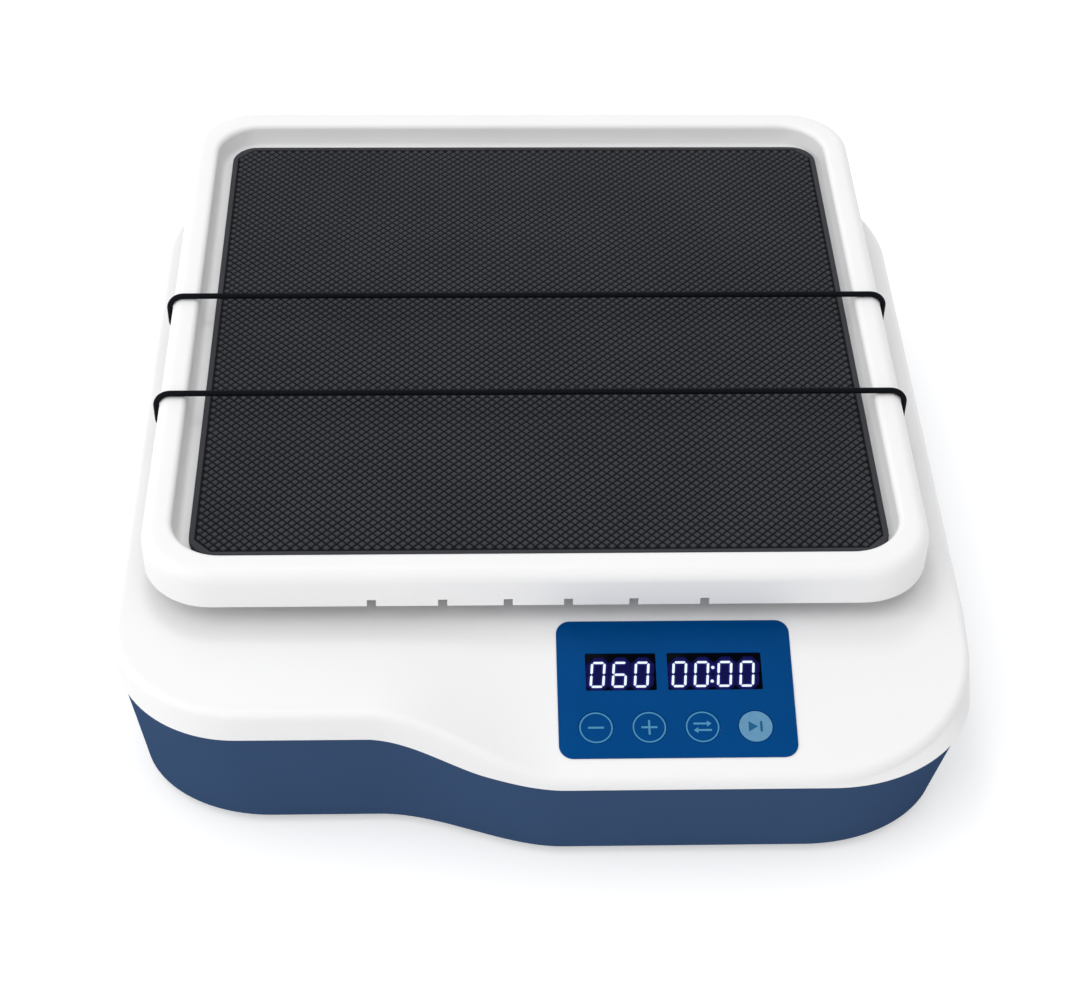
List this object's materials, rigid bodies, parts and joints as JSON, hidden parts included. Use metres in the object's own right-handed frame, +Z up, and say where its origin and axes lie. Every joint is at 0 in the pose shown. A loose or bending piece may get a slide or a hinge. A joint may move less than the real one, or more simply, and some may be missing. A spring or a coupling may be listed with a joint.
{
  "type": "linear shaker",
  "caption": "Low bench shaker: a square tray with an anti-slip mat and elastic holding cords slides side to side over a wave-fronted housing with a sloping keypad console.",
  "frame": {"origin": "on the floor under the middle of the whole shaker", "axes": "+Z up, the console and the wave-shaped front face -Y, the tray slides along X"},
  "size_m": [0.32, 0.3644, 0.092],
  "materials": {
    "white_shell": "satin moulded white",
    "blue_shell": "satin moulded navy blue",
    "panel_film": "gloss printed film",
    "key_film": "gloss printed film",
    "start_key_film": "gloss printed film",
    "display_glass": "dark gloss window",
    "mat_rubber": "studded",
    "foot_rubber": "matt",
    "belt_rubber": "matt",
    "cord_elastic": "matt",
    "black_plastic": "fine matt",
    "circuit_board": "coated",
    "machined_steel": "ground",
    "machined_aluminium": "machined",
    "zinc_steel": "zinc plated"
  },
  "bodies": {
    "base": {"base_shell": "blue_shell", "top_cover": "white_shell", "rubber_foot_front_left": "foot_rubber", "rubber_foot_front_right": "foot_rubber", "rubber_foot_rear_left": "foot_rubber", "rubber_foot_rear_right": "foot_rubber", "cover_screw_front_left": "machined_steel", "cover_screw_front_right": "machined_steel", "cover_screw_rear_left": "machined_steel", "cover_screw_rear_right": "machined_steel", "chassis_plate": "zinc_steel", "rod_support_left": "machined_aluminium", "rod_support_right": "machined_aluminium", "guide_rod_front": "machined_steel", "guide_rod_rear": "machined_steel", "motor_body": "black_plastic", "motor_bracket": "zinc_steel", "drive_belt": "belt_rubber", "crank_bearing_housing": "machined_aluminium", "crank_bearing": "machined_steel", "panel_film": "panel_film", "speed_display": "display_glass", "time_display": "display_glass", "control_board": "circuit_board", "power_inlet": "black_plastic", "switch_housing": "black_plastic", "motor_cable": "black_plastic", "power_cable": "black_plastic"},
    "carriage": {"carriage_plate": "machined_aluminium", "bearing_block_front": "machined_aluminium", "bearing_block_rear": "machined_aluminium", "linear_bush_front_left": "machined_steel", "linear_bush_front_right": "machined_steel", "linear_bush_rear_left": "machined_steel", "linear_bush_rear_right": "machined_steel", "tray_post_front_left": "machined_aluminium", "tray_post_front_right": "machined_aluminium", "tray_post_rear_left": "machined_aluminium", "tray_post_rear_right": "machined_aluminium", "tray_screw_front_left": "machined_steel", "tray_screw_front_right": "machined_steel", "tray_screw_rear_left": "machined_steel", "tray_screw_rear_right": "machined_steel", "tray": "white_shell", "tray_mat": "mat_rubber", "holding_cord_front": "cord_elastic", "holding_cord_rear": "cord_elastic"},
    "crank": {"crank_pulley": "machined_aluminium", "crank_shaft": "machined_steel", "crank_pin": "machined_steel", "crank_roller": "machined_steel"},
    "motor_rotor": {"motor_pulley": "machined_aluminium", "motor_shaft": "machined_steel"},
    "minus_key": {"key_minus": "key_film"},
    "plus_key": {"key_plus": "key_film"},
    "mode_key": {"key_mode": "key_film"},
    "start_key": {"key_start": "start_key_film"},
    "rocker": {"power_rocker": "black_plastic"}
  },
  "joints": [
    {"name": "tray_slide", "type": "slide", "parent": "base", "child": "carriage", "axis": [1, 0, 0], "range_m": [-0.01, 0.01]},
    {"name": "crank_turn", "type": "hinge", "parent": "base", "child": "crank", "pos_m": [0, 0.0312, 0.0195], "axis": [0, 0, -1], "range_deg": [-91, 91]},
    {"name": "motor_turn", "type": "hinge", "parent": "base", "child": "motor_rotor", "pos_m": [0, -0.0838, 0.0195], "axis": [0, 0, -1], "range_deg": [-273, 273]},
    {"name": "press_minus", "type": "slide", "parent": "base", "child": "minus_key", "axis": [0, 0.2756, -0.9613], "range_m": [0, 0.0004], "stiffness_N_per_m": 700},
    {"name": "press_plus", "type": "slide", "parent": "base", "child": "plus_key", "axis": [0, 0.2756, -0.9613], "range_m": [0, 0.0004], "stiffness_N_per_m": 700},
    {"name": "press_mode", "type": "slide", "parent": "base", "child": "mode_key", "axis": [0, 0.2756, -0.9613], "range_m": [0, 0.0004], "stiffness_N_per_m": 700},
    {"name": "press_start", "type": "slide", "parent": "base", "child": "start_key", "axis": [0, 0.2756, -0.9613], "range_m": [0, 0.0004], "stiffness_N_per_m": 700},
    {"name": "power_rock", "type": "hinge", "parent": "base", "child": "rocker", "pos_m": [-0.018, 0.1699, 0.026], "axis": [0, 0, 1], "range_deg": [-20, 0]}
  ],
  "couplings": [
    {"joint": "crank_turn", "follows": "tray_slide", "rad_per_m": 157.08},
    {"joint": "motor_turn", "follows": "tray_slide", "rad_per_m": 471.24}
  ]
}
